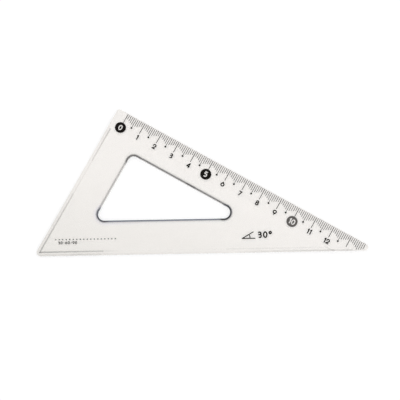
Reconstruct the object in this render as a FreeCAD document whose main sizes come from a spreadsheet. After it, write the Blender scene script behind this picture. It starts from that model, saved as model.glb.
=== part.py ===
import FreeCAD, Part
import math
import os
import Sketcher

# A 30/60 degree drawing set square: one clear moulded plate with a large cut-out, and the
# black print that lies on it as a thin film of ink.
#
# The long leg carries the centimetre scale.  The plate slopes down to a thin edge there, so
# the marks lie close to the paper.  The other two edges have a shallow step, the inking ledge.
#
# Two frames are used.  In the "leg" frame the right-angle corner is at the origin, the long leg
# runs along +X and the short leg along -Y, so the plate is built on plain right angles.  In the
# "hypotenuse" frame the blunt corner is at the origin and the hypotenuse runs along +X.  The
# part's own frame is the second one, moved to the middle of the outline's box: the hypotenuse
# along +X, the right angle towards +Y, the underside at Z = 0 and the printed face up.

DRIVING = (
    # the plate
    ("sharp_angle", 30.0, "smallest angle of the triangle, in degrees"),
    ("long_leg", 151.0, "long leg, between its sharp corners"),
    ("plate_thickness", 2.0, "thickness of the flat plate"),
    ("scale_edge_thickness", 1.0, "thickness left at the graduated edge"),
    ("slope_margin", 0.25, "how far the slope runs on past the discs"),
    ("ledge_width", 2.0, "width of the step along the two plain edges"),
    ("ledge_depth", 0.35, "depth of that step"),
    ("frame_width", 17.6, "from each edge to the wall of the cut-out"),
    ("square_corner_radius", 1.3, "rounding of the right-angle corner"),
    ("sharp_corner_radius", 1.8, "rounding of the sharp corner"),
    ("blunt_corner_radius", 2.0, "rounding of the third corner"),
    ("cutout_corner_radius", 3.2, "rounding of the cut-out's corners"),
    ("cutout_lip_radius", 0.9, "rounding of the cut-out's upper edge"),
    ("ledge_rim_radius", 0.4, "rounding of the plain edges"),
    ("scale_rim_radius", 0.25, "rounding of the graduated edge"),
    # the scale, whose depths are measured up the slope from the graduated edge
    ("zero_offset", 6.0, "from the right-angle corner to the zero mark"),
    ("division", 1.0, "pitch of the scale"),
    ("tick_width", 0.25, "line width of the marks"),
    ("bold_tick_width", 0.32, "line width of the whole-centimetre marks"),
    ("tick_start", 0.3, "clear strip between the edge and the marks"),
    ("shortest_tick", 2.5, "marks next to a whole centimetre"),
    ("tick_growth", 0.5, "how much longer each following mark is"),
    ("centimetre_tick", 6.1, "whole-centimetre marks"),
    ("half_dot_depth", 5.8, "centre of the dot that ends a half-centimetre mark"),
    ("half_dot_diameter", 1.0, "that dot"),
    ("disc_depth", 8.3, "centre of the discs behind 0, 5 and 10"),
    ("disc_diameter", 5.7, "those discs"),
    ("print_margin", 0.45, "clear strip left along the hypotenuse"),
    # the dotted line for the owner's name, in the blunt corner
    ("name_line_start", 11.3, "first dot, along the hypotenuse"),
    ("name_line_height", 8.2, "the line's height above the hypotenuse"),
    ("name_dot_spacing", 1.78, "pitch of the dots"),
    ("name_dot_diameter", 0.6, "each dot"),
    ("name_dot_count", 18, "number of dots"),
    # the ink
    ("ink_thickness", 0.05, "thickness of the print"),
    ("ink_gap", 0.05, "gap between two prints that meet"),
)
DERIVED = (
    ("short_leg", "long_leg * tan(sharp_angle)", "short leg, between its sharp corners"),
    ("hypotenuse", "long_leg / cos(sharp_angle)", "the third side"),
    ("corner_along", "short_leg * sin(sharp_angle)", "right angle, along the hypotenuse"),
    ("corner_height", "long_leg * sin(sharp_angle)", "right angle, above the hypotenuse"),
    ("bevel_width", "disc_depth + disc_diameter / 2 + slope_margin", "width of the slope"),
    ("slope_drop", "plate_thickness - scale_edge_thickness", "how far the slope goes down"),
    ("slope_angle", "atan(slope_drop / bevel_width)", "steepness of the slope"),
    ("scale_rim", "min(scale_rim_radius; 0.75 * ledge_depth)", "rim that the ledge's end allows"),
    ("half_tick_end", "half_dot_depth - half_dot_diameter / 2 - ink_gap", "where its mark ends"),
    ("disc_room", "disc_diameter + 2 * ink_gap", "circle that the marks leave to a disc"),
    ("box_left", "blunt_corner_radius * (1 / tan(45 - sharp_angle / 2) - 1)", "outline's left"),
    ("tip_lost", "sharp_corner_radius * (1 / tan(sharp_angle / 2) - 1)", "rounded off the tip"),
    ("top_lost", "square_corner_radius * (cos(sharp_angle) + sin(sharp_angle) - 1)", "and the top"),
    ("centre_x", "(box_left + hypotenuse - tip_lost) / 2", "middle of the outline's box"),
    ("centre_y", "(corner_height - top_lost) / 2", "middle of the outline's box"),
    ("scale_end", "long_leg - sharp_corner_radius / tan(sharp_angle / 2)", "where the tip rounds"),
)
CENTIMETRE = 10
HALF = 5
MARKS_PER_DISC = 50
OVERSHOOT = 5.0
CLOSE = 1e-3
VECTOR = FreeCAD.Vector

document = FreeCAD.newDocument("set_square")
sheet = document.addObject("Spreadsheet::Sheet", "dimensions")
for row, (name, value, note) in enumerate(DRIVING, start=1):
    sheet.set(f"A{row}", str(value))
    sheet.setAlias(f"A{row}", name)
    sheet.set(f"B{row}", note)
for row, (name, formula, note) in enumerate(DERIVED, start=len(DRIVING) + 1):
    sheet.set(f"A{row}", f"={formula}")
    sheet.setAlias(f"A{row}", name)
    sheet.set(f"B{row}", note)
document.recompute()


def cells(expression):
    """Spell out an expression in which $ marks each name of the sheet."""
    return expression.replace("$", "dimensions.")


def value_of(expression):
    """What such an expression comes to, as a plain number."""
    value = sheet.evalExpression(cells(expression))
    return float(getattr(value, "Value", value))


def size(name):
    """The value of a named cell."""
    return value_of(f"${name}")


# ---------------------------------------------------------------- the triangle

angle = math.radians(size("sharp_angle"))


def slant_x(down, inset):
    """Where a line parallel to the hypotenuse, inset from it, lies at a depth below the leg."""
    return size("long_leg") - (inset + down * math.cos(angle)) / math.sin(angle)


def slant_y(across, inset):
    """The depth of the same line at a distance from the short leg."""
    return ((size("long_leg") - across) * math.sin(angle) - inset) / math.cos(angle)


def inset_of(point):
    """Distances of a point, in the leg frame, from the two legs and the hypotenuse."""
    across = (size("long_leg") - point.x) * math.sin(angle)
    return -point.y, point.x, across + point.y * math.cos(angle)


# ---------------------------------------------------------------- which marks the scale has

def line_width(mark):
    """The expression for a mark's width."""
    return "$tick_width" if mark % CENTIMETRE else "$bold_tick_width"


def room_at(mark):
    """Depth of plate that can be printed below a mark, up to the margin at the hypotenuse."""
    right_side = value_of(f"$zero_offset + {mark} * $division + {line_width(mark)} / 2")
    return slant_y(right_side, size("print_margin"))


# The tip begins at the first half or whole centimetre whose mark doesn't fit.  From there every
# mark runs on to the margin, and the last one stands where the tip's rounding begins.
tip_start = 0
while room_at(tip_start) >= size("tick_start") + size("centimetre_tick"):
    tip_start += HALF
printed_length = size("scale_end") - size("zero_offset") - size("tick_width") / 2
last_mark = int(printed_length / size("division"))
full_marks = range(0, tip_start)
tip_marks = range(tip_start, last_mark + 1)
full_centimetres = tip_start // CENTIMETRE

# a disc stands at zero and at every fifth centimetre, as far as it fits in the plate
disc_end = size("disc_depth") + size("disc_diameter") / 2
disc_marks = [mark for mark in full_marks[::MARKS_PER_DISC] if room_at(mark) > disc_end]


# ---------------------------------------------------------------- bodies and sketches

def new_body(name, frame):
    """A body whose own axes are those of the leg frame or of the hypotenuse frame."""
    body = document.addObject("PartDesign::Body", name)
    body.Label = name
    if frame == "leg":
        body.setExpression("Placement.Rotation.Angle", cells("-$sharp_angle"))
        body.setExpression("Placement.Base.x", cells("$corner_along - $centre_x"))
        body.setExpression("Placement.Base.y", cells("$corner_height - $centre_y"))
    else:
        body.setExpression("Placement.Base.x", cells("-$centre_x"))
        body.setExpression("Placement.Base.y", cells("-$centre_y"))
    return body


def new_sketch(body, name, role="XY_Plane", lift=None):
    """A sketch on one of the body's own planes, raised where asked."""
    sketch = body.newObject("Sketcher::SketchObject", name)
    plane = [item for item in body.Origin.OriginFeatures if item.Role == role][0]
    sketch.AttachmentSupport = (plane, [""])
    sketch.MapMode = "FlatFace"
    if lift:
        sketch.setExpression("AttachmentOffset.Base.z", cells(lift))
    return sketch


def slope_sketch(body, name):
    """A sketch on the slope: X along the graduated edge, -Y up the slope."""
    sketch = new_sketch(body, name, lift="$scale_edge_thickness")
    turn = FreeCAD.Rotation(VECTOR(1, 0, 0), -size("slope_angle"))
    sketch.AttachmentOffset = FreeCAD.Placement(VECTOR(), turn)
    sketch.setExpression("AttachmentOffset.Rotation.Angle", cells("-$slope_angle"))
    return sketch


def dimension(sketch, name, expression, kind, *where):
    """Fix a distance or a diameter at what an expression of the sheet comes to."""
    index = sketch.addConstraint(Sketcher.Constraint(kind, *where, value_of(expression)))
    sketch.renameConstraint(index, name)
    sketch.setExpression(f"Constraints.{name}", cells(expression))


def constrain(sketch, kind, lines, *others):
    """Give each of the lines the same constraint."""
    for line in lines:
        sketch.addConstraint(Sketcher.Constraint(kind, line, *others))


def add_line(sketch, start, end, construction=False):
    """A straight line between two points of the sketch."""
    segment = Part.LineSegment(VECTOR(*start, 0), VECTOR(*end, 0))
    return sketch.addGeometry(segment, construction)


def add_polygon(sketch, points):
    """Straight lines through the points, joined end to end; returns their numbers."""
    lines = [add_line(sketch, *ends) for ends in zip(points, points[1:] + points[:1])]
    for line, following in zip(lines, lines[1:] + lines[:1]):
        sketch.addConstraint(Sketcher.Constraint("Coincident", line, 2, following, 1))
    return lines


def add_hypotenuse(sketch):
    """A construction line along the plate's hypotenuse, to measure from."""
    line = add_line(sketch, (size("long_leg"), 0), (0, -size("short_leg")), construction=True)
    sketch.addConstraint(Sketcher.Constraint("PointOnObject", line, 1, -1))
    sketch.addConstraint(Sketcher.Constraint("PointOnObject", line, 2, -2))
    dimension(sketch, "long_leg", "$long_leg", "DistanceX", -1, 1, line, 1)
    dimension(sketch, "short_leg", "$short_leg", "DistanceY", line, 2, -1, 1)
    return line


def add_tick(sketch, mark, depth):
    """A mark of the scale, so many divisions from zero; returns its right side."""
    width = line_width(mark)
    place = f"$zero_offset + {mark} * $division - {width} / 2"
    left, top = value_of(place), -size("tick_start")
    right = left + value_of(width)
    corners = [(left, top), (right, top), (right, -depth), (left, -depth)]
    upper, right_side, lower, left_side = add_polygon(sketch, corners)
    constrain(sketch, "Horizontal", [upper, lower])
    constrain(sketch, "Vertical", [right_side, left_side])
    dimension(sketch, f"place_{mark}", place, "DistanceX", -1, 1, upper, 1)
    dimension(sketch, f"start_{mark}", "$tick_start", "DistanceY", upper, 1, -1, 1)
    dimension(sketch, f"width_{mark}", width, "DistanceX", upper, 1, upper, 2)
    return right_side


def add_full_tick(sketch, mark, length):
    """A mark whose length is an expression of the sheet."""
    right_side = add_tick(sketch, mark, size("tick_start") + value_of(length))
    dimension(sketch, f"length_{mark}", length, "DistanceY", right_side, 2, right_side, 1)


def add_tip_ticks(sketch, marks):
    """Marks that run on to a margin line beside the hypotenuse."""
    hypotenuse = add_hypotenuse(sketch)
    inset = size("print_margin")
    ends = (slant_x(0, inset), 0), (0, -slant_y(0, inset))
    margin = add_line(sketch, *ends, construction=True)
    sketch.addConstraint(Sketcher.Constraint("PointOnObject", margin, 1, -1))
    sketch.addConstraint(Sketcher.Constraint("PointOnObject", margin, 2, -2))
    sketch.addConstraint(Sketcher.Constraint("Parallel", margin, hypotenuse))
    dimension(sketch, "margin", "$print_margin", "Distance", margin, 1, hypotenuse)
    for mark in marks:
        right_side = add_tick(sketch, mark, room_at(mark))
        sketch.addConstraint(Sketcher.Constraint("PointOnObject", right_side, 2, margin))


def add_circle(sketch, across, up, diameter):
    """A circle whose centre lies so far across and up from the sketch's origin."""
    centre = VECTOR(value_of(across), value_of(up), 0)
    outline = Part.Circle(centre, VECTOR(0, 0, 1), value_of(diameter) / 2)
    circle = sketch.addGeometry(outline, False)
    dimension(sketch, "across", across, "DistanceX", -1, 1, circle, 3)
    dimension(sketch, "up", up, "DistanceY", -1, 1, circle, 3)
    dimension(sketch, "diameter", diameter, "Diameter", circle)


# ---------------------------------------------------------------- solid features

def new_pad(body, sketch, name, height):
    """Raise a sketch along its normal."""
    pad = body.newObject("PartDesign::Pad", name)
    pad.Profile = sketch
    pad.setExpression("Length", cells(height))
    document.recompute()
    return pad


def new_pocket(body, sketch, name, depth=None):
    """Cut a sketch down into the body, or both ways through all of it."""
    volume = body.Shape.Volume
    pocket = body.newObject("PartDesign::Pocket", name)
    pocket.Profile = sketch
    if depth:
        pocket.setExpression("Length", cells(depth))
    else:
        pocket.Type = "ThroughAll"
        pocket.Midplane = True
    document.recompute()
    if not body.Shape.Volume < volume:
        raise ValueError(f"{name} cuts nothing")
    return pocket


def new_pattern(body, feature, sketch, name, count, spacing):
    """Repeat a feature along the X axis of its sketch."""
    pattern = body.newObject("PartDesign::LinearPattern", name)
    pattern.Originals = [feature]
    pattern.Direction = (sketch, ["H_Axis"])
    pattern.setExpression("Occurrences", cells(f"{count}"))
    pattern.setExpression("Length", cells(f"({count} - 1) * {spacing}"))
    body.Tip = pattern
    document.recompute()


def new_fillet(body, name, picks, radius):
    """Round those edges of the body's last feature that a test picks."""
    base = body.Tip
    names = [f"Edge{i}" for i, edge in enumerate(base.Shape.Edges, start=1) if picks(edge)]
    if not names:
        raise ValueError(f"{name} finds no edge")
    fillet = body.newObject("PartDesign::Fillet", name)
    fillet.Base = (base, names)
    fillet.setExpression("Radius", cells(radius))
    document.recompute()


# ---------------------------------------------------------------- the plate's edges

def ends_of(edge):
    """The points at which an edge starts and ends."""
    return [vertex.Point for vertex in edge.Vertexes]


def is_upright(edge):
    """True for an edge whose ends lie one above the other."""
    start, end = ends_of(edge)
    return math.dist((start.x, start.y), (end.x, end.y)) < CLOSE


def is_at_level(edge, level):
    """True for an edge whose ends both lie at one height."""
    return all(abs(end.z - level) < CLOSE for end in ends_of(edge))


def upright_at(x, y):
    """A test for the upright edge at one point of the plan."""
    def picks(edge):
        foot = ends_of(edge)[0]
        return is_upright(edge) and math.dist((foot.x, foot.y), (x, y)) < CLOSE
    return picks


def is_in_cutout(edge):
    """True for an edge of the cut-out's wall."""
    wall = size("frame_width") - CLOSE
    return all(min(inset_of(end)) > wall for end in ends_of(edge))


def is_cutout_wall(edge):
    """True for an upright edge of the cut-out."""
    return is_in_cutout(edge) and is_upright(edge)


def is_cutout_lip(edge):
    """True for an upper edge of the cut-out."""
    return is_in_cutout(edge) and is_at_level(edge, size("plate_thickness"))


def is_rim(edge):
    """True for an edge of the printed side that lies on the plate's outline."""
    on_outline = all(min(map(abs, inset_of(end))) < CLOSE for end in ends_of(edge))
    return on_outline and not is_upright(edge) and not is_at_level(edge, 0)


def is_ledge_rim(edge):
    """True for the outer edge of the ledge."""
    return is_rim(edge) and is_at_level(edge, size("plate_thickness") - size("ledge_depth"))


def is_slope_rim(edge):
    """True for the outer edge of the slope, at the graduated edge and beside it."""
    return is_rim(edge) and not is_ledge_rim(edge)


# ---------------------------------------------------------------- the plate

def draw_outline(sketch):
    """The plate's right triangle, from the right-angle corner."""
    corners = [(0, 0), (size("long_leg"), 0), (0, -size("short_leg"))]
    leg, slant, short = add_polygon(sketch, corners)
    sketch.addConstraint(Sketcher.Constraint("Coincident", leg, 1, -1, 1))
    constrain(sketch, "Horizontal", [leg])
    constrain(sketch, "Vertical", [short])
    dimension(sketch, "long_leg", "$long_leg", "DistanceX", leg, 1, leg, 2)
    dimension(sketch, "short_leg", "$short_leg", "DistanceY", short, 1, short, 2)


def draw_slope(sketch):
    """The wedge taken off the long leg: sketch X across the leg, sketch Y up."""
    top, edge = size("plate_thickness"), size("scale_edge_thickness")
    slope, upright, level = add_polygon(sketch, [(-size("bevel_width"), top), (0, edge), (0, top)])
    constrain(sketch, "Vertical", [upright])
    constrain(sketch, "Horizontal", [level])
    sketch.addConstraint(Sketcher.Constraint("PointOnObject", slope, 2, -2))
    dimension(sketch, "width", "$bevel_width", "DistanceX", level, 2, level, 1)
    dimension(sketch, "top", "$plate_thickness", "DistanceY", -1, 1, level, 1)
    dimension(sketch, "edge", "$scale_edge_thickness", "DistanceY", -1, 1, slope, 2)


def draw_ledge(sketch):
    """The strip taken off along the short leg and the hypotenuse, up to the slope."""
    width, start = size("ledge_width"), size("bevel_width")
    points = [
        (-OVERSHOOT, -start),
        (width, -start),
        (width, -slant_y(width, width)),
        (slant_x(start, width), -start),
        (slant_x(start, -OVERSHOOT), -start),
        (-OVERSHOOT, -slant_y(-OVERSHOOT, -OVERSHOOT)),
    ]
    hypotenuse = add_hypotenuse(sketch)
    end, short_wall, long_wall, other_end, outside, back = add_polygon(sketch, points)
    constrain(sketch, "Horizontal", [end, other_end])
    constrain(sketch, "Vertical", [short_wall, back])
    constrain(sketch, "Parallel", [long_wall, outside], hypotenuse)
    dimension(sketch, "start", "$bevel_width", "DistanceY", end, 1, -1, 1)
    dimension(sketch, "other_start", "$bevel_width", "DistanceY", other_end, 1, -1, 1)
    dimension(sketch, "short_width", "$ledge_width", "DistanceX", -1, 1, end, 2)
    dimension(sketch, "long_width", "$ledge_width", "Distance", long_wall, 2, hypotenuse)
    dimension(sketch, "past_leg", f"{OVERSHOOT}", "DistanceX", end, 1, -1, 1)
    dimension(sketch, "past_slant", f"{OVERSHOOT}", "Distance", outside, 1, hypotenuse)


def draw_cutout(sketch):
    """The triangle taken out of the middle, as far inside each edge as the others."""
    inset = size("frame_width")
    corners = [
        (inset, -inset),
        (slant_x(inset, inset), -inset),
        (inset, -slant_y(inset, inset)),
    ]
    hypotenuse = add_hypotenuse(sketch)
    leg, slant, short = add_polygon(sketch, corners)
    constrain(sketch, "Horizontal", [leg])
    constrain(sketch, "Vertical", [short])
    constrain(sketch, "Parallel", [slant], hypotenuse)
    dimension(sketch, "from_short_leg", "$frame_width", "DistanceX", -1, 1, leg, 1)
    dimension(sketch, "from_long_leg", "$frame_width", "DistanceY", leg, 1, -1, 1)
    dimension(sketch, "from_slant", "$frame_width", "Distance", slant, 1, hypotenuse)


def make_plate():
    """The clear moulding: triangle, slope, ledge and cut-out, with their roundings."""
    body = new_body("plate", "leg")
    outline = new_sketch(body, "outline")
    draw_outline(outline)
    new_pad(body, outline, "flat_plate", "$plate_thickness")
    square_corner = upright_at(0, 0)
    sharp_corner = upright_at(size("long_leg"), 0)
    blunt_corner = upright_at(0, -size("short_leg"))
    new_fillet(body, "square_corner", square_corner, "$square_corner_radius")
    new_fillet(body, "sharp_corner", sharp_corner, "$sharp_corner_radius")
    new_fillet(body, "blunt_corner", blunt_corner, "$blunt_corner_radius")

    slope = new_sketch(body, "slope", role="YZ_Plane")
    draw_slope(slope)
    new_pocket(body, slope, "graduated_slope")
    ledge = new_sketch(body, "ledge", lift="$plate_thickness")
    draw_ledge(ledge)
    new_pocket(body, ledge, "inking_ledge", depth="$ledge_depth")

    cutout = new_sketch(body, "cutout", lift="$plate_thickness")
    draw_cutout(cutout)
    new_pocket(body, cutout, "cutout_opening")
    new_fillet(body, "cutout_corners", is_cutout_wall, "$cutout_corner_radius")
    new_fillet(body, "cutout_lip", is_cutout_lip, "$cutout_lip_radius")
    new_fillet(body, "slope_rim", is_slope_rim, "$scale_rim")
    new_fillet(body, "ledge_rim", is_ledge_rim, "$ledge_rim_radius")
    return body


# ---------------------------------------------------------------- the printed scale

def pattern_marks(body, pad, sketch, name, count):
    """Repeat a film at every whole centimetre along the scale."""
    new_pattern(body, pad, sketch, name, count, f"{CENTIMETRE} * $division")


def pad_tip(body, marks):
    """Add the film of those marks that stand in the tip."""
    if marks:
        tip = slope_sketch(body, "tip_marks")
        add_tip_ticks(tip, marks)
        new_pad(body, tip, "tip_film", "$ink_thickness")


def add_fan(sketch, first, marks):
    """Short marks that grow from each whole centimetre towards the half."""
    for mark in marks:
        from_whole = min(mark - first, first + CENTIMETRE - mark)
        add_full_tick(sketch, mark, f"$shortest_tick + {from_whole - 1} * $tick_growth")


def make_millimetre_ticks():
    """The fans of short marks between the half and whole centimetres."""
    body = new_body("ticks_millimetre", "leg")
    fan = slope_sketch(body, "fan")
    add_fan(fan, 0, [mark for mark in range(CENTIMETRE) if mark % HALF])
    pad = new_pad(body, fan, "fan_film", "$ink_thickness")
    pattern_marks(body, pad, fan, "fans", full_centimetres)
    first = full_centimetres * CENTIMETRE
    rest = [mark for mark in full_marks[first:] if mark % HALF]
    if rest:
        last_fan = slope_sketch(body, "last_fan")
        add_fan(last_fan, first, rest)
        new_pad(body, last_fan, "last_fan_film", "$ink_thickness")
    pad_tip(body, [mark for mark in tip_marks if mark % HALF])
    return body


def make_half_centimetre_ticks():
    """The marks at the half centimetres, each of which runs down to its dot."""
    body = new_body("ticks_half_centimetre", "leg")
    mark = slope_sketch(body, "mark")
    add_full_tick(mark, HALF, "$half_tick_end - $tick_start")
    pad = new_pad(body, mark, "mark_film", "$ink_thickness")
    pattern_marks(body, pad, mark, "marks", len(full_marks[HALF::CENTIMETRE]))
    pad_tip(body, [mark for mark in tip_marks if mark % CENTIMETRE == HALF])
    return body


def make_half_centimetre_dots():
    """The dots that end the half-centimetre marks."""
    body = new_body("dots_half_centimetre", "leg")
    dot = slope_sketch(body, "dot")
    across = f"$zero_offset + {HALF} * $division"
    add_circle(dot, across, "-$half_dot_depth", "$half_dot_diameter")
    pad = new_pad(body, dot, "dot_film", "$ink_thickness")
    pattern_marks(body, pad, dot, "dots", len(full_marks[HALF::CENTIMETRE]))
    return body


def make_centimetre_ticks():
    """The marks at the whole centimetres; those above a disc stop short of it."""
    body = new_body("ticks_centimetre", "leg")
    mark = slope_sketch(body, "mark")
    add_full_tick(mark, 0, "$centimetre_tick")
    pad = new_pad(body, mark, "mark_film", "$ink_thickness")
    pattern_marks(body, pad, mark, "marks", len(full_marks[::CENTIMETRE]))
    pad_tip(body, [mark for mark in tip_marks if mark % CENTIMETRE == 0])

    room = slope_sketch(body, "disc_room")
    add_circle(room, "$zero_offset", "-$disc_depth", "$disc_room")
    pocket = new_pocket(body, room, "disc_room_cut")
    spacing = f"{MARKS_PER_DISC} * $division"
    new_pattern(body, pocket, room, "disc_rooms", len(disc_marks), spacing)
    return body


def make_disc(mark):
    """One of the solid discs on which the figures 0, 5 and 10 stand out light."""
    body = new_body(f"number_disc_{mark // CENTIMETRE}", "leg")
    disc = slope_sketch(body, "disc")
    across = f"$zero_offset + {mark} * $division"
    add_circle(disc, across, "-$disc_depth", "$disc_diameter")
    new_pad(body, disc, "disc_film", "$ink_thickness")
    return body


# ---------------------------------------------------------------- the name line

def make_name_line():
    """The dotted line in the blunt corner, parallel to the hypotenuse."""
    body = new_body("name_line_dots", "hypotenuse")
    dot = new_sketch(body, "dot", lift="$plate_thickness")
    add_circle(dot, "$name_line_start", "$name_line_height", "$name_dot_diameter")
    pad = new_pad(body, dot, "dot_film", "$ink_thickness")
    new_pattern(body, pad, dot, "dots", "$name_dot_count", "$name_dot_spacing")
    return body


# ---------------------------------------------------------------- build, test and write

bodies = [
    make_plate(),
    make_millimetre_ticks(),
    make_half_centimetre_ticks(),
    make_half_centimetre_dots(),
    make_centimetre_ticks(),
    *[make_disc(mark) for mark in disc_marks],
    make_name_line(),
]
document.recompute()

for item in document.Objects:
    if "Invalid" in item.State or "Error" in item.State:
        raise ValueError(f"{item.Label} did not build: {item.State}")
for body in bodies:
    if body.Shape.isNull() or not body.Shape.isValid():
        raise ValueError(f"{body.Label} has no valid shape")

os.makedirs("parts", exist_ok=True)
for body in bodies:
    body.Shape.exportStep(f"parts/{body.Label}.step")
    print(f"{body.Label}: {len(body.Shape.Solids)} solids, {body.Shape.Volume:.3f} mm3")
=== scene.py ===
import math

import bpy
from mathutils import Matrix, Vector


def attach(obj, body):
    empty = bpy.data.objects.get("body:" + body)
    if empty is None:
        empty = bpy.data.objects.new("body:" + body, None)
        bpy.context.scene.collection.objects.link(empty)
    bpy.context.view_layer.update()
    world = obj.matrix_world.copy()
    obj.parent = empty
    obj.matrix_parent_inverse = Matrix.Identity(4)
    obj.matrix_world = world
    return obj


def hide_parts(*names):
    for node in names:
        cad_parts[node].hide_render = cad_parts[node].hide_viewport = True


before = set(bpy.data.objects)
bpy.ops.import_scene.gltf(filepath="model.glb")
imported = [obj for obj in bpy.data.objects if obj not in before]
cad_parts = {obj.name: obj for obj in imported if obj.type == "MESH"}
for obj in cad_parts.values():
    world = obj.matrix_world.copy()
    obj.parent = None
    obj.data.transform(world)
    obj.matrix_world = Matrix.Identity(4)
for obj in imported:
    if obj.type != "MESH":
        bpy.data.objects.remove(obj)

bl_info = {
    "name": "Clear Set Square",
    "version": (1, 0, 0),
    "blender": (4, 5, 0),
    "location": "View3D > Sidebar > Set Square",
    "description": "Finishes a 30/60 degree set square and prints its figures",
    "category": "Object",
}

# ------------------------------------------------------------------ the frame
# Everything is in metres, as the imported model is. Three frames are used: the
# part's own, the scale's, which starts at the right angle and runs down the
# long leg, and the foot's, which starts at the blunt corner and runs along the
# hypotenuse.

MM = 0.001
SHARP_ANGLE = math.radians(30)
RIGHT_ANGLE = Vector((-41.863, 37.988, 0)) * MM
LONG_LEG = 151 * MM
ZERO = 6 * MM
CENTIMETRE = 10 * MM
EDGE_THICKNESS = 1 * MM
THICKNESS = 2 * MM
SLOPE_WIDTH = 11.4 * MM
SLOPE_ANGLE = math.atan((THICKNESS - EDGE_THICKNESS) / SLOPE_WIDTH)
FRAME_WIDTH = 17.6 * MM
CUTOUT_ROUNDING = 3.2 * MM
INK = 0.05 * MM

ALONG = Vector((math.cos(SHARP_ANGLE), -math.sin(SHARP_ANGLE), 0))
ACROSS = Vector((math.sin(SHARP_ANGLE), math.cos(SHARP_ANGLE), 0))
UP = Vector((0, 0, 1))
BLUNT_CORNER = RIGHT_ANGLE - ACROSS * LONG_LEG * math.tan(SHARP_ANGLE)

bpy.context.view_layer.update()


def at_foot(along, height):
    """A point of the part's plan, measured along and above the hypotenuse."""
    return BLUNT_CORNER + Vector((along, height, 0))


def at_scale(along, depth):
    """A point of the part's plan, measured along and in from the long leg."""
    return RIGHT_ANGLE + ALONG * along - ACROSS * depth


def on_top(along, height, lift=0.0):
    """Where flat print lies on the level top, its lines along the hypotenuse."""
    return Matrix.Translation(at_foot(along, height) + UP * (THICKNESS + lift))


def on_slope(along, down, lift=0.0):
    """Where flat print lies on the slope, its lines along the scale."""
    rise = ACROSS * math.cos(SLOPE_ANGLE) - UP * math.sin(SLOPE_ANGLE)
    out = ALONG.cross(rise)
    edge = RIGHT_ANGLE + ALONG * along + UP * EDGE_THICKNESS
    place = Matrix((ALONG, rise, out)).transposed().to_4x4()
    place.translation = edge - rise * down + out * lift
    return place


# ------------------------------------------------------------------- settings


def colour_setting(name, description, default):
    return bpy.props.FloatVectorProperty(
        name=name,
        description=description,
        subtype="COLOR",
        min=0,
        max=1,
        default=default,
    )


def share_setting(name, description, default):
    return bpy.props.FloatProperty(
        name=name,
        description=description,
        subtype="FACTOR",
        min=0,
        max=1,
        default=default,
    )


def length_setting(name, description, default):
    return bpy.props.FloatProperty(
        name=name,
        description=description,
        subtype="DISTANCE",
        unit="LENGTH",
        default=default,
    )


def strength_setting(name, description, default):
    return bpy.props.FloatProperty(
        name=name, description=description, min=0, default=default
    )


class PlateSettings(bpy.types.PropertyGroup):
    """The clear plastic"""

    colour: colour_setting(
        "Plastic",
        "Colour that the clear plastic gives to what lies under it",
        (0.923, 0.904, 0.88),
    )
    corner_colour: colour_setting(
        "Plastic in the blunt corner",
        "The same colour at the blunt corner, where the plate is greyer",
        (0.853, 0.838, 0.809),
    )
    # how strong the painted shade lines along the edges and the ledges' walls are
    edge_shade: share_setting(
        "Edge shade", "How dark the rounded edges and the ledges' walls look", 1.0
    )
    polish: share_setting(
        "Roughness", "Greatest roughness of the polished faces", 0.03
    )


class PrintSettings(bpy.types.PropertyGroup):
    """The ink and its figures"""

    ink: colour_setting(
        "Ink", "Colour of the printing ink", (0.0055, 0.004, 0.0028)
    )
    thin_ink: colour_setting(
        "Thin ink", "Colour of the ink where it is laid thin", (0.11, 0.103, 0.097)
    )
    figure_height: length_setting(
        "Figure height", "Height of the scale's plain figures", 2.75 * MM
    )
    figure_weight: share_setting(
        "Figure weight",
        "Width of the plain figures' strokes, as a share of their height",
        0.207,
    )
    figure_depth: length_setting(
        "Figure depth",
        "How far down the slope the middle of the plain figures lies",
        8.5 * MM,
    )
    disc_figure_height: length_setting(
        "Disc figure height",
        "Height of the figures left out of the discs",
        2.95 * MM,
    )
    disc_figure_weight: share_setting(
        "Disc figure weight",
        "Width of those figures' strokes, as a share of their height",
        0.2,
    )


class StageSettings(bpy.types.PropertyGroup):
    """The floor and the light"""

    floor_colour: colour_setting("Floor", "Colour of the floor", (0.45, 0.45, 0.45))
    backdrop: strength_setting(
        "Backdrop", "How bright the floor looks where it is seen; 1 is white", 1.05
    )
    light: strength_setting(
        "Light", "Strength of the soft light from all round", 1.0
    )


# --------------------------------------------------------------- node helpers


def add_node(tree, kind, **values):
    """Add a node, and set properties of it by name."""
    node = tree.nodes.new(kind)
    for name, value in values.items():
        setattr(node, name, value)
    return node


def feed(tree, socket, value):
    """Link an output to the socket, or set the socket to a plain value."""
    if isinstance(value, bpy.types.NodeSocket):
        tree.links.new(value, socket)
    else:
        socket.default_value = value


def maths(tree, operation, *values, clamp=False):
    """Work out a number from numbers or outputs."""
    node = add_node(tree, "ShaderNodeMath", operation=operation, use_clamp=clamp)
    for socket, value in zip(node.inputs, values):
        feed(tree, socket, value)
    return node.outputs[0]


def vectors(tree, operation, *values):
    """Work out a vector, or a number, from vectors or outputs."""
    node = add_node(tree, "ShaderNodeVectorMath", operation=operation)
    for socket, value in zip(node.inputs, values):
        feed(tree, socket, value)
    plain = operation in ("DOT_PRODUCT", "LENGTH")
    return node.outputs["Value" if plain else "Vector"]


def mixed(tree, factor, first, second, blend="MIX"):
    """Go from the first colour to the second one, or blend it over the first."""
    node = add_node(tree, "ShaderNodeMix", data_type="RGBA", blend_type=blend)
    usable = {item.name: item for item in node.inputs if item.enabled}
    for name, value in (("Factor", factor), ("A", first), ("B", second)):
        feed(tree, usable[name], value)
    return next(item for item in node.outputs if item.enabled)


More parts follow.
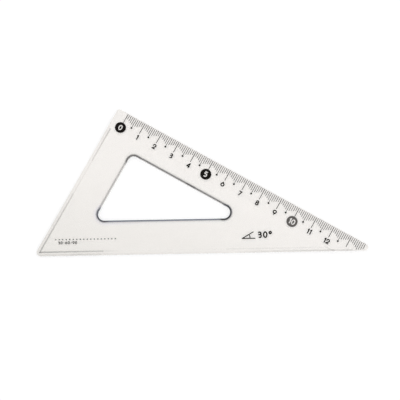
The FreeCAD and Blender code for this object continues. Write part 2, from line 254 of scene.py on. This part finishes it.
def ranged(tree, value, low, high, to_low, to_high):
    """Carry a value from one range over to another, and keep it inside that."""
    node = add_node(tree, "ShaderNodeMapRange")
    for socket, setting in zip(node.inputs, (value, low, high, to_low, to_high)):
        feed(tree, socket, setting)
    return node.outputs["Result"]


def noise(tree, point, scale, detail=2.0):
    """Soft noise about a half; the scale is in spots to the metre."""
    node = add_node(tree, "ShaderNodeTexNoise")
    feed(tree, node.inputs["Vector"], point)
    node.inputs["Scale"].default_value = scale
    node.inputs["Detail"].default_value = detail
    return node.outputs["Fac"]


def bump(tree, height, strength, distance):
    node = add_node(tree, "ShaderNodeBump")
    node.inputs["Strength"].default_value = strength
    node.inputs["Distance"].default_value = distance
    feed(tree, node.inputs["Height"], height)
    return node.outputs["Normal"]


def place_of(tree):
    return add_node(tree, "ShaderNodeTexCoord").outputs["Object"]


def opaque(colour):
    return (*colour, 1.0)


def new_group(name, inputs, outputs):
    """An empty node group: its tree, and the sockets at its two ends."""
    tree = bpy.data.node_groups.new(name, "ShaderNodeTree")
    for in_out, sockets in (("INPUT", inputs), ("OUTPUT", outputs)):
        for socket, kind in sockets:
            tree.interface.new_socket(
                name=socket, in_out=in_out, socket_type=f"NodeSocket{kind}"
            )
    entry = add_node(tree, "NodeGroupInput").outputs
    end = add_node(tree, "NodeGroupOutput").inputs
    return tree, entry, end


def use_group(tree, group, **values):
    """Place a group in a material; values are named after its inputs."""
    node = add_node(tree, "ShaderNodeGroup", node_tree=group)
    for name, value in values.items():
        feed(tree, node.inputs[name], value)
    return node.outputs


def new_material(name):
    material = bpy.data.materials.new(name)
    material.use_nodes = True
    tree = material.node_tree
    return material, tree, tree.nodes["Principled BSDF"].inputs


def give(piece, material):
    piece.data.materials.clear()
    piece.data.materials.append(material)


# ---------------------------------------------------------- the clear plastic

PLASTIC_IOR = 1.49

# the tone changes slowly from the blunt corner to the scale: the way that it
# goes in plan, where the change begins and ends in millimetres, and how far soft
# clouds carry it to and fro
TOWARDS_SCALE = Vector((0.35, 0.94, 0))
TONE_BEGINS = 6.0
TONE_ENDS = 68.0
CLOUD_SCALE = 40
CLOUD_REACH = 16

# where the plate is handled, it is a little less polished
HANDLING_SCALE = 300
HANDLING_FROM = 0.45
HANDLING_TO = 0.8

# the moulded faces aren't quite flat
WAVE_SCALE = 90
WAVE_STRENGTH = 0.15
WAVE_HEIGHT = 0.05 * MM

# The plastic's rounded edges and the walls of its ledges send the light
# sideways, so they look like dark lines from above and below. These lines are
# painted shade, multiplied into the plastic's colour, and among them are a
# painted pale violet halo and a painted dark glint. Each line is soft, and runs
# about the stretch from one point to another at a radius, which is nothing for
# a straight line.

# colours of the painted shade lines, the painted halo and the painted glint
CLEAR_GREY = (0.08, 0.08, 0.08)
STEEL_BLUE = (0.10, 0.13, 0.20)
VIOLET_BLUE = (0.16, 0.14, 0.24)
DARK_TEAL = (0.03, 0.055, 0.065)
PALE_VIOLET = (0.86, 0.86, 1.0)
BLACK = (0.005, 0.005, 0.005)

# how far in from the short leg the wall of its ledge is seen
LEG_LEDGE_WALL = 1.65 * MM

# the dark glint beside the cut-out's long side, a painted reflection: where it
# begins and ends, as shares of that side, how far beyond the wall it lies, and
# its half width
PAINTED_GLINT_ENDS = (0.55, 0.64)
PAINTED_GLINT_OUT = 0.5 * MM
PAINTED_GLINT_WIDTH = 0.36 * MM
PAINTED_GLINT_STRENGTH = 0.8


def cutout_centres():
    """The roundings' centres: at the blunt corner, the tip and the right angle."""
    inner = FRAME_WIDTH + CUTOUT_ROUNDING
    from_leg = at_scale(inner, inner)
    foot = BLUNT_CORNER.y + inner
    # down a line parallel to the short leg, and along one parallel to the long leg
    down = (from_leg.y - foot) / ACROSS.y
    along = (from_leg.y - foot) / -ALONG.y
    return from_leg - ACROSS * down, from_leg + ALONG * along, from_leg


def edge_lines():
    """The painted shade lines: two points, radius, half width, strength at both,
    and colour.
    """
    blunt, tip, square = cutout_centres()
    middle = blunt.lerp(tip, 0.5)
    beside = ACROSS * (CUTOUT_ROUNDING + PAINTED_GLINT_OUT)
    painted_glint = [square.lerp(tip, share) + beside for share in PAINTED_GLINT_ENDS]

    # the rows below are in millimetres: how far a line lies beyond the cut-out's
    # wall, or between which points it runs, and then its half width
    def cutout_line(start, stop, out, width, first, last, colour):
        radius = CUTOUT_ROUNDING + out * MM
        return start, stop, radius, width * MM, first, last, colour

    def foot_line(start, stop, width, first, last):
        ends = [at_foot(along * MM, height * MM) for along, height in (start, stop)]
        return *ends, 0.0, width * MM, first, last, CLEAR_GREY

    def leg_line(start, stop, width, first, last):
        ends = [at_scale(LEG_LEDGE_WALL, down * MM) for down in (start, stop)]
        return *ends, 0.0, width * MM, first, last, CLEAR_GREY

    return (
        # painted shade of the cut-out's walls and its rounded corners, with a pale
        # violet painted halo and the painted glint
        cutout_line(blunt, tip, 0.36, 0.57, 1.0, 1.0, STEEL_BLUE),
        cutout_line(blunt, middle, 0.25, 0.5, 0.3, 0.0, VIOLET_BLUE),
        cutout_line(square, tip, 0.5, 0.54, 0.98, 0.98, CLEAR_GREY),
        cutout_line(square, blunt, 0.5, 0.46, 0.66, 0.66, CLEAR_GREY),
        cutout_line(tip, tip, 0.4, 0.45, 0.6, 0.6, DARK_TEAL),
        cutout_line(blunt, blunt, 0.3, 0.4, 0.4, 0.4, STEEL_BLUE),
        cutout_line(blunt, middle, 1.6, 0.8, 0.3, 0.0, PALE_VIOLET),
        (*painted_glint, 0.0, PAINTED_GLINT_WIDTH, PAINTED_GLINT_STRENGTH, PAINTED_GLINT_STRENGTH, BLACK),
        # painted shade of the ledge along the hypotenuse, and of its rim
        foot_line((3.2, 2.0), (35, 2.05), 0.33, 0.55, 0.32),
        foot_line((35, 2.05), (44, 2.05), 0.33, 0.12, 0.0),
        foot_line((3.2, 0.6), (60, 0.6), 0.33, 0.1, 0.0),
        foot_line((19, 0.6), (34, 0.6), 0.3, 0.1, 0.1),
        foot_line((104, 0.5), (152, 0.5), 0.33, 0.03, 0.24),
        foot_line((98, 2.0), (146, 2.0), 0.33, 0.07, 0.05),
        foot_line((148.1, 2.0), (151.6, 0.3), 0.3, 0.14, 0.14),
        foot_line((151.6, 0.4), (161.5, 0.4), 0.3, 0.2, 0.3),
        # painted shade of the ledge along the short leg
        leg_line(11.4, 30, 0.3, 0.4, 0.24),
        leg_line(30, 50, 0.3, 0.1, 0.1),
        leg_line(50, 84, 0.34, 0.26, 0.5),
    )


def soft_line_group():
    """Group: 1 on a line about a stretch in plan, falling off softly beside it."""
    tree, entry, end = new_group(
        "soft_line",
        (
            ("Point", "Vector"),
            ("Start", "Vector"),
            ("End", "Vector"),
            ("Radius", "Float"),
            ("Width", "Float"),
            ("StartStrength", "Float"),
            ("EndStrength", "Float"),
        ),
        (("Mask", "Float"),),
    )
    stretch = vectors(tree, "SUBTRACT", entry["End"], entry["Start"])
    offset = vectors(tree, "SUBTRACT", entry["Point"], entry["Start"])
    reach = vectors(tree, "DOT_PRODUCT", offset, stretch)
    length = vectors(tree, "DOT_PRODUCT", stretch, stretch)
    along = maths(tree, "DIVIDE", reach, length, clamp=True)
    nearest = vectors(tree, "MULTIPLY", stretch, along)
    away = vectors(tree, "LENGTH", vectors(tree, "SUBTRACT", offset, nearest))
    off_line = maths(tree, "SUBTRACT", away, entry["Radius"])
    widths = maths(tree, "DIVIDE", off_line, entry["Width"])
    square = maths(tree, "MULTIPLY", widths, widths)
    falloff = maths(tree, "EXPONENT", maths(tree, "MULTIPLY", square, -1.0))
    strengths = entry["StartStrength"], entry["EndStrength"]
    strength = ranged(tree, along, 0.0, 1.0, *strengths)
    feed(tree, end["Mask"], maths(tree, "MULTIPLY", falloff, strength))
    return tree


def clear_plastic(settings):
    """Clear, polished, slightly warm, greyer towards the blunt corner, and with
    painted shade lines along its edges.
    """
    material, tree, shader = new_material("clear_plastic")
    place = place_of(tree)
    plan = vectors(tree, "MULTIPLY", place, (1 / MM, 1 / MM, 0))

    from_corner = vectors(tree, "SUBTRACT", plan, BLUNT_CORNER / MM)
    run = vectors(tree, "DOT_PRODUCT", from_corner, TOWARDS_SCALE)
    clouds = noise(tree, place, CLOUD_SCALE, 1.0)
    run = maths(tree, "ADD", run, maths(tree, "MULTIPLY", clouds, CLOUD_REACH))
    tone = ranged(tree, run, TONE_BEGINS, TONE_ENDS, 0.0, 1.0)
    colour = mixed(
        tree, tone, opaque(settings.corner_colour), opaque(settings.colour)
    )

    # the dark lines along the rounded edges, the ledges' walls and the cut-out are
    # painted shade, with a painted halo and a painted glint, multiplied into the
    # plastic's colour
    line = soft_line_group()
    for start, stop, radius, width, first, last, shade in edge_lines():
        mask = use_group(
            tree,
            line,
            Point=plan,
            Start=start / MM,
            End=stop / MM,
            Radius=radius / MM,
            Width=width / MM,
            StartStrength=first * settings.edge_shade,
            EndStrength=last * settings.edge_shade,
        )["Mask"]
        colour = mixed(tree, mask, colour, opaque(shade), "MULTIPLY")
    feed(tree, shader["Base Color"], colour)

    handling = noise(tree, place, HANDLING_SCALE, 4.0)
    dulled = ranged(
        tree, handling, HANDLING_FROM, HANDLING_TO, 0.0, settings.polish
    )
    feed(tree, shader["Roughness"], dulled)
    waves = noise(tree, place, WAVE_SCALE, 1.0)
    feed(tree, shader["Normal"], bump(tree, waves, WAVE_STRENGTH, WAVE_HEIGHT))
    shader["IOR"].default_value = PLASTIC_IOR
    shader["Transmission Weight"].default_value = 1.0
    return material


# -------------------------------------------------------------------- the ink

# a fine grain, and patches where the film is thinner and this much paler
GRAIN_SCALE = 5000
GRAIN_STRENGTH = 0.2
GRAIN_HEIGHT = 0.01 * MM
PATCH_SCALE = 350
PALER_BY = (0.012, 0.012, 0.012)

# the ink is dull, and hardly mirrors anything
SMOOTHEST_INK = 0.5
ROUGHEST_INK = 0.75
INK_SPECULAR = 0.04


def ink_film_group():
    """Group: a printed film, a little thinner in places, with a fine grain."""
    tree, entry, end = new_group(
        "ink_film",
        (("Point", "Vector"), ("Ink", "Color"), ("Worn", "Float")),
        (("Colour", "Color"), ("Height", "Float")),
    )
    grain = noise(tree, entry["Point"], GRAIN_SCALE)
    patches = noise(tree, entry["Point"], PATCH_SCALE)
    thin = maths(tree, "MULTIPLY", grain, patches)
    lighter = mixed(tree, 1.0, entry["Ink"], opaque(PALER_BY), "ADD")
    amount = maths(tree, "MULTIPLY", thin, entry["Worn"], clamp=True)
    feed(tree, end["Colour"], mixed(tree, amount, entry["Ink"], lighter))
    feed(tree, end["Height"], grain)
    return tree


def printing_ink(name, colour, worn=1.0):
    material, tree, shader = new_material(name)
    group = bpy.data.node_groups.get("ink_film") or ink_film_group()
    film = use_group(
        tree, group, Point=place_of(tree), Ink=opaque(colour), Worn=worn
    )
    grain = film["Height"]
    feed(tree, shader["Base Color"], film["Colour"])
    roughness = ranged(tree, grain, 0.0, 1.0, SMOOTHEST_INK, ROUGHEST_INK)
    feed(tree, shader["Roughness"], roughness)
    feed(tree, shader["Normal"], bump(tree, grain, GRAIN_STRENGTH, GRAIN_HEIGHT))
    shader["Specular IOR Level"].default_value = INK_SPECULAR
    return material


# ----------------------------------------------------------------- the pieces
# Fine print is drawn larger than it is, one unit high or in millimetres, because
# solids as small as the real films don't join cleanly. It is then brought down
# to its size and put in its place in one step.

TURN_STEP = math.radians(15)
FEWEST_TURN_STEPS = 3
RING_SIDES = 40
DISC_SIDES = 96

# points this near each other become one, and so do faces this nearly in line
MERGED_WITHIN = 0.001
FLAT_WITHIN = math.radians(0.5)

# the gaps between the figures of a line, as shares of the figures' height
FIGURE_GAP = 0.1
DISC_FIGURE_GAP = 0.08
CORNER_FIGURE_GAP = 0.14

# the discs, in millimetres: the rim's rounding is a share of the film, and the
# solid that cuts a figure out is a few films deep
DISC_RADIUS = 2.85
DISC_RIM = 0.4
CUTTER_FILMS = 4
DISC_DEPTH = 8.3 * MM

# the angle sign, in millimetres and degrees: its arc stands a hair clear of the
# foot's middle line, and ends within the sloping leg
SIGN_STROKE = 0.5
SIGN_LENGTH = 6.4
SIGN_RADIUS = 4.0
SIGN_ARC_LIFT = 0.05
SIGN_ARC = 24


def settle(piece, material):
    """Give a finished piece its finish, and let it ride on the plate."""
    give(piece, material)
    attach(piece, "root")


def deselect():
    bpy.ops.object.select_all(action="DESELECT")


def select_only(*pieces):
    deselect()
    for piece in pieces:
        piece.select_set(True)
    bpy.context.view_layer.objects.active = pieces[0]


def lay(piece, place):
    """Move a piece's mesh from the origin to its place."""
    piece.data.transform(place)
    piece.data.update()


def draw_stroke(start, heading, moves, width):
    """A flat ribbon that begins half a width behind a point and runs ahead.

    A move is the length of a straight run, or the radius and angle of a turn,
    which goes to the left where the angle is positive.
    """
    heading = math.radians(heading)
    facing = Vector((math.cos(heading), math.sin(heading), 0))
    deselect()
    bpy.ops.mesh.primitive_plane_add(
        size=width, location=start, rotation=(0, 0, heading)
    )
    bpy.ops.object.transform_apply()
    ribbon = bpy.context.object
    mesh = ribbon.data
    bpy.ops.object.mode_set(mode="EDIT")
    bpy.ops.mesh.select_mode(type="EDGE")
    bpy.ops.mesh.select_all(action="DESELECT")
    bpy.ops.object.mode_set(mode="OBJECT")

    def forward(edge):
        return sum(mesh.vertices[index].co.dot(facing) for index in edge.vertices)

    max(mesh.edges, key=forward).select = True
    bpy.ops.object.mode_set(mode="EDIT")
    bpy.ops.transform.translate(value=facing * width / -2)
    place = start
    for move in moves:
        if isinstance(move, tuple):
            radius, angle = move
            angle = math.radians(angle)
            side = Vector((-facing.y, facing.x, 0)) * math.copysign(radius, angle)
            bpy.ops.mesh.spin(
                steps=max(FEWEST_TURN_STEPS, round(abs(angle) / TURN_STEP)),
                angle=-angle,
                center=place + side,
                axis=(0, 0, 1),
            )
            turn = Matrix.Rotation(angle, 3, "Z")
            place = place + side - turn @ side
            facing = turn @ facing
        else:
            run = facing * move
            bpy.ops.mesh.extrude_region_move(TRANSFORM_OT_translate={"value": run})
            place = place + run
    bpy.ops.object.mode_set(mode="OBJECT")
    return ribbon


def draw_ring(centre, half_width, half_height, width):
    """A flat oval ring, or a filled oval where its middle would close up.

    The half sizes are those of the middle line of its stroke.
    """
    deselect()
    bpy.ops.mesh.primitive_circle_add(
        vertices=RING_SIDES,
        radius=half_height + width / 2,
        fill_type="NGON",
        location=centre,
    )
    bpy.ops.object.transform_apply()
    bpy.ops.object.mode_set(mode="EDIT")
    narrower = (half_width + width / 2) / (half_height + width / 2)
    bpy.ops.transform.resize(value=(narrower, 1, 1), center_override=centre)
    if min(half_width, half_height) > width / 2:
        bpy.ops.mesh.inset(thickness=width)
        bpy.ops.mesh.delete(type="FACE")
    bpy.ops.object.mode_set(mode="OBJECT")
    return bpy.context.object


def raise_flat(piece, film):
    """Give flat faces the thickness of the ink, half to each side."""
    select_only(piece)
    bpy.ops.object.mode_set(mode="EDIT")
    bpy.ops.mesh.select_all(action="SELECT")
    bpy.ops.mesh.normals_make_consistent(inside=False)
    bpy.ops.object.mode_set(mode="OBJECT")
    thickness = piece.modifiers.new("film", "SOLIDIFY")
    thickness.thickness = film
    thickness.offset = 0
    bpy.ops.object.modifier_apply(modifier=thickness.name)


def combine(pieces, operation):
    """Join solids into the first of them, or take the others out of it."""
    first, *others = pieces
    for other in others:
        select_only(first)
        step = first.modifiers.new("combine", "BOOLEAN")
        step.object = other
        step.operation = operation
        step.solver = "EXACT"
        bpy.ops.object.modifier_apply(modifier=step.name)
        bpy.data.objects.remove(other)
    # what the pieces leave where they cross is tidied into plain flat faces
    select_only(first)
    bpy.ops.object.mode_set(mode="EDIT")
    bpy.ops.mesh.select_all(action="SELECT")
    bpy.ops.mesh.remove_doubles(threshold=MERGED_WITHIN)
    bpy.ops.mesh.dissolve_limited(angle_limit=FLAT_WITHIN)
    bpy.ops.object.mode_set(mode="OBJECT")
    return first


# How each figure is drawn, with the height of its middle lines as the unit: its
# rings, as x, y, half width and half height, and its strokes, as x, y, heading
# in degrees, and moves.
FIGURES = {
    "0": ([(0.31, 0.5, 0.31, 0.5)], []),
    "1": ([], [(0.3, 0.0, 90, [1.13]), (0.23, 0.89, 215, [0.25])]),
    "2": ([], [(0.0, 0.7, 90, [(0.3, -226.4), 0.62]), (0.0, 0.0, 0, [0.68])]),
    "3": (
        [],
        [
            (0.09, 0.935, 37, [(0.235, -217), 0.05]),
            (0.1, 0.525, 0, [0.16, (0.265, -225)]),
        ],
    ),
    "4": (
        [],
        [
            (0.5, 0.0, 90, [1.13]),
            (0.02, 0.25, 0, [0.7]),
            (0.07, 0.33, 56.5, [0.77]),
        ],
    ),
    "5": (
        [],
        [
            (0.13, 1.0, 0, [0.48]),
            (0.13, 0.98, 265, [0.44]),
            (0.155, 0.585, 28, [(0.315, -250)]),
        ],
    ),
    "6": ([(0.36, 0.35, 0.36, 0.35)], [(0.07, 0.53, 59, [0.64])]),
    "7": ([], [(0.0, 1.0, 0, [0.66]), (0.49, 0.95, 249, [1.08])]),
    "8": ([(0.3, 0.75, 0.25, 0.25), (0.3, 0.27, 0.3, 0.27)], []),
    "9": ([(0.36, 0.65, 0.36, 0.35)], [(0.65, 0.47, 239, [0.64])]),
    "°": ([(0.2, 0.86, 0.2, 0.2)], []),
    "·": ([(0.05, 0.5, 0.05, 0.05)], []),
}


def enlarged(move, unit):
    """A run or a turn of a stroke, at the figure's size."""
    return (move[0] * unit, move[1]) if isinstance(move, tuple) else move * unit


def cast_figures(characters, weight):
    """Each character once, one unit high and thick, to be copied into lines."""
    cast = {}
    unit = 1 - weight
    for character in characters:
        rings, strokes = FIGURES[character]
        parts = []
        for x, y, half_width, half_height in rings:
            centre = Vector((x * unit, y * unit, 0))
            half_sizes = half_width * unit, half_height * unit
            parts.append(draw_ring(centre, *half_sizes, weight))
        for x, y, heading, moves in strokes:
            start = Vector((x * unit, y * unit, 0))
            moves = [enlarged(move, unit) for move in moves]
            parts.append(draw_stroke(start, heading, moves, weight))
        for part in parts:
            raise_flat(part, 1)
        piece = combine(parts, "UNION")
        lay(piece, Matrix.Translation((0, weight / 2, 0)))
        cast[character] = piece
    return cast


def set_figures(name, text, cast, height, gap, film=INK):
    """A line of figures copied from the cast, its middle at the origin."""
    parts = []
    cursor = 0
    for character in text:
        if character == " ":
            cursor += gap
            continue
        select_only(cast[character])
        bpy.ops.object.duplicate()
        part = bpy.context.object
        sides = [vertex.co.x for vertex in part.data.vertices]
        lay(part, Matrix.Translation((cursor - min(sides), -0.5, 0)))
        cursor += max(sides) - min(sides) + gap
        parts.append(part)
    select_only(*parts)
    if len(parts) > 1:
        bpy.ops.object.join()
    piece = parts[0]
    piece.name = name
    size = Matrix.Diagonal((height, height, film, 1))
    lay(piece, size @ Matrix.Translation(((gap - cursor) / 2, 0, 0)))
    return piece


def melt(*casts):
    """Remove what was only there to be copied."""
    for piece in casts:
        bpy.data.objects.remove(piece)


def blank_disc():
    """A round film of ink whose rim is slightly rounded, in millimetres."""
    deselect()
    bpy.ops.mesh.primitive_cylinder_add(
        vertices=DISC_SIDES,
        radius=DISC_RADIUS,
        depth=INK / MM,
        end_fill_type="NGON",
    )
    disc = bpy.context.object
    disc.name = "disc"
    bpy.ops.object.mode_set(mode="EDIT")
    bpy.ops.mesh.select_mode(type="EDGE")
    bpy.ops.mesh.select_all(action="DESELECT")
    bpy.ops.object.mode_set(mode="OBJECT")
    for edge in disc.data.edges:
        heights = [disc.data.vertices[index].co.z for index in edge.vertices]
        edge.select = min(heights) > 0
    bpy.ops.object.mode_set(mode="EDIT")
    bpy.ops.mesh.bevel(offset=DISC_RIM * INK / MM, segments=2, affect="EDGES")
    bpy.ops.object.mode_set(mode="OBJECT")
    return disc


def print_disc(blank, cast, number, settings, ink):
    """A copy of the blank disc, with its figure left out of it."""
    select_only(blank)
    bpy.ops.object.duplicate()
    piece = bpy.context.object
    piece.name = f"disc_{number}"
    height = settings.disc_figure_height / MM
    film = CUTTER_FILMS * INK / MM
    cutter = set_figures(
        "cutter", str(number), cast, height, DISC_FIGURE_GAP, film
    )
    combine([piece, cutter], "DIFFERENCE")
    place = on_slope(ZERO + number * CENTIMETRE, DISC_DEPTH, INK / 2)
    lay(piece, place @ Matrix.Scale(MM, 4))
    settle(piece, ink)
    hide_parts(f"number_disc_{number}")


def draw_angle_sign():
    """A plain angle sign: two legs at the sharp angle, and an arc."""
    stroke = SIGN_STROKE
    corner = Vector((stroke / 2, stroke / 2, 0))
    parts = [draw_ring(corner, 0, 0, stroke)]
    for heading in (0, SHARP_ANGLE):
        facing = Vector((math.cos(heading), math.sin(heading), 0))
        start = corner + facing * stroke / 2
        degrees = math.degrees(heading)
        parts.append(draw_stroke(start, degrees, [SIGN_LENGTH], stroke))
    foot = corner + Vector((SIGN_RADIUS, SIGN_ARC_LIFT, 0))
    parts.append(draw_stroke(foot, 90, [(SIGN_RADIUS, SIGN_ARC)], stroke))
    for part in parts:
        raise_flat(part, INK / MM)
    sign = combine(parts, "UNION")
    sign.name = "angle_sign"
    return sign


# ------------------------------------------------------------------ the stage

FLOOR_SIZE = 6
FLOOR_GAP = 0.05 * MM

# the camera's place and turn are in millimetres and degrees
CAMERA_PLACE = (6.84, -82.51, 607.6)
CAMERA_TURN = (6.7797, 0.8222, -0.9603)
LENS = 108
SENSOR = 36
NEAREST_SEEN = 0.01
FARTHEST_SEEN = 20


def seen_ray(tree):
    """1 for what is seen straight, in a reflection or through the plastic.

    It is 0 for the light that a dull surface gathers.
    """
    rays = add_node(tree, "ShaderNodeLightPath").outputs
    seen = maths(tree, "MAXIMUM", rays["Is Camera Ray"], rays["Is Glossy Ray"])
    seen = maths(tree, "MAXIMUM", seen, rays["Is Transmission Ray"])
    not_gathered = maths(tree, "LESS_THAN", rays["Diffuse Depth"], 0.5)
    return maths(tree, "MULTIPLY", seen, not_gathered)


def make_floor(settings):
    """A plain floor, which looks white and still takes the part's shadow."""
    deselect()
    bpy.ops.mesh.primitive_plane_add(
        size=FLOOR_SIZE, location=(0, 0, -FLOOR_GAP)
    )
    floor = bpy.context.object
    floor.name = "floor"
    material, tree, shader = new_material("floor")
    feed(tree, shader["Base Color"], opaque(settings.floor_colour))
    shader["Roughness"].default_value = 1.0
    shader["Specular IOR Level"].default_value = 0.0
    shader["Emission Color"].default_value = (1, 1, 1, 1)
    # the glow adds what the floor's own colour lacks
    lift = settings.backdrop - settings.floor_colour[0]
    glow = maths(tree, "MULTIPLY", seen_ray(tree), lift)
    feed(tree, shader["Emission Strength"], glow)
    give(floor, material)


def make_light(settings):
    """Even light from all round, and white where it is seen."""
    world = bpy.data.worlds.new("surroundings")
    bpy.context.scene.world = world
    world.use_nodes = True
    tree = world.node_tree
    background = tree.nodes["Background"].inputs
    background["Color"].default_value = (1, 1, 1, 1)
    strength = ranged(tree, seen_ray(tree), 0.0, 1.0, settings.light, 1.0)
    feed(tree, background["Strength"], strength)


def make_camera():
    """A camera above the part, and how the light is followed for it."""
    deselect()
    bpy.ops.object.camera_add(
        location=[distance * MM for distance in CAMERA_PLACE],
        rotation=[math.radians(turn) for turn in CAMERA_TURN],
    )
    camera = bpy.context.object
    camera.name = "camera"
    camera.data.sensor_width = SENSOR
    camera.data.lens = LENS
    camera.data.clip_start = NEAREST_SEEN
    camera.data.clip_end = FARTHEST_SEEN
    scene = bpy.context.scene
    scene.camera = camera
    scene.view_settings.view_transform = "Standard"
    # light has to find its way through the clear plate, and fine print has to
    # stay sharp when the noise is taken out
    scene.cycles.max_bounces = 32
    scene.cycles.glossy_bounces = 24
    scene.cycles.transmission_bounces = 24
    scene.cycles.diffuse_bounces = 6
    scene.cycles.blur_glossy = 0.0
    scene.cycles.denoising_prefilter = "NONE"
    scene.cycles.denoising_input_passes = "RGB_ALBEDO"


# ------------------------------------------------------------------ operators

MARKS = (
    "ticks_millimetre",
    "ticks_half_centimetre",
    "dots_half_centimetre",
    "ticks_centimetre",
    "name_line_dots",
)
PLAIN_NUMBERS = (1, 2, 3, 4, 6, 7, 8, 9, 11, 12)

# the print above the hypotenuse, in millimetres along and above it: where the
# sign's corner lies, and for each line its name, text, middle and height
SIGN_PLACE = (105.6, 6.9)
CORNER_LINES = (
    ("angle_figures", "30°", 117.4, 8.9, 3.4),
    ("corner_figures", "30 · 60 · 90", 17.4, 6.55, 1.5),
)


class SETSQUARE_OT_plate(bpy.types.Operator):
    """Give the moulded plate its clear plastic"""

    bl_idname = "set_square.plate"
    bl_label = "Clear plate"

    def execute(self, context):
        material = clear_plastic(context.scene.set_square_plate)
        give(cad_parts["plate"], material)
        return {"FINISHED"}


class SETSQUARE_OT_marks(bpy.types.Operator):
    """Ink the marks of the scale and the dotted line"""

    bl_idname = "set_square.marks"
    bl_label = "Scale marks"

    def execute(self, context):
        settings = context.scene.set_square_print
        ink = printing_ink("printing_ink", settings.ink)
        for name in MARKS:
            give(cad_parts[name], ink)
        return {"FINISHED"}


class SETSQUARE_OT_figures(bpy.types.Operator):
    """Print the plain figures of the scale"""

    bl_idname = "set_square.figures"
    bl_label = "Scale figures"

    def execute(self, context):
        settings = context.scene.set_square_print
        ink = bpy.data.materials["printing_ink"]
        cast = cast_figures("12346789", settings.figure_weight)
        height = settings.figure_height
        for number in PLAIN_NUMBERS:
            name = f"figure_{number}"
            piece = set_figures(name, str(number), cast, height, FIGURE_GAP)
            along = ZERO + number * CENTIMETRE
            lay(piece, on_slope(along, settings.figure_depth, INK / 2))
            settle(piece, ink)
        melt(*cast.values())
        return {"FINISHED"}


class SETSQUARE_OT_discs(bpy.types.Operator):
    """Print the discs at 0, 5 and 10, with their figures left out of them"""

    bl_idname = "set_square.discs"
    bl_label = "Number discs"

    def execute(self, context):
        settings = context.scene.set_square_print
        ink = bpy.data.materials["printing_ink"]
        thin = printing_ink("thin_ink", settings.thin_ink, 2.0)
        blank = blank_disc()
        cast = cast_figures("015", settings.disc_figure_weight)
        print_disc(blank, cast, 0, settings, ink)
        print_disc(blank, cast, 5, settings, ink)
        print_disc(blank, cast, 10, settings, thin)
        melt(blank, *cast.values())
        return {"FINISHED"}


class SETSQUARE_OT_corner_print(bpy.types.Operator):
    """Print the plain angle sign and the small figures above the hypotenuse"""

    bl_idname = "set_square.corner_print"
    bl_label = "Angle sign and small figures"

    def execute(self, context):
        settings = context.scene.set_square_print
        ink = bpy.data.materials["printing_ink"]
        sign = draw_angle_sign()
        along, up = SIGN_PLACE
        place = on_top(along * MM, up * MM, INK / 2)
        lay(sign, place @ Matrix.Scale(MM, 4))
        settle(sign, ink)
        cast = cast_figures("0369°·", settings.figure_weight)
        for name, text, along, up, height in CORNER_LINES:
            piece = set_figures(name, text, cast, height * MM, CORNER_FIGURE_GAP)
            lay(piece, on_top(along * MM, up * MM, INK / 2))
            settle(piece, ink)
        melt(*cast.values())
        return {"FINISHED"}


class SETSQUARE_OT_stage(bpy.types.Operator):
    """Set up the floor, the light and the camera"""

    bl_idname = "set_square.stage"
    bl_label = "Stage"

    def execute(self, context):
        settings = context.scene.set_square_stage
        make_floor(settings)
        make_light(settings)
        make_camera()
        return {"FINISHED"}


class SETSQUARE_PT_panel(bpy.types.Panel):
    bl_label = "Set Square"
    bl_space_type = "VIEW_3D"
    bl_region_type = "UI"
    bl_category = "Set Square"

    def draw(self, context):
        for operator in OPERATORS:
            self.layout.operator(operator.bl_idname)


OPERATORS = (
    SETSQUARE_OT_stage,
    SETSQUARE_OT_plate,
    SETSQUARE_OT_marks,
    SETSQUARE_OT_figures,
    SETSQUARE_OT_discs,
    SETSQUARE_OT_corner_print,
)
SETTINGS = {
    "set_square_plate": PlateSettings,
    "set_square_print": PrintSettings,
    "set_square_stage": StageSettings,
}


def register():
    for name, settings in SETTINGS.items():
        bpy.utils.register_class(settings)
        setattr(bpy.types.Scene, name, bpy.props.PointerProperty(type=settings))
    for operator in OPERATORS:
        bpy.utils.register_class(operator)
    bpy.utils.register_class(SETSQUARE_PT_panel)


def unregister():
    bpy.utils.unregister_class(SETSQUARE_PT_panel)
    for operator in reversed(OPERATORS):
        bpy.utils.unregister_class(operator)
    for name, settings in SETTINGS.items():
        delattr(bpy.types.Scene, name)
        bpy.utils.unregister_class(settings)


def main():
    register()
    bpy.ops.set_square.stage()
    bpy.ops.set_square.plate()
    bpy.ops.set_square.marks()
    bpy.ops.set_square.figures()
    bpy.ops.set_square.discs()
    bpy.ops.set_square.corner_print()


if __name__ == "__main__":
    main()
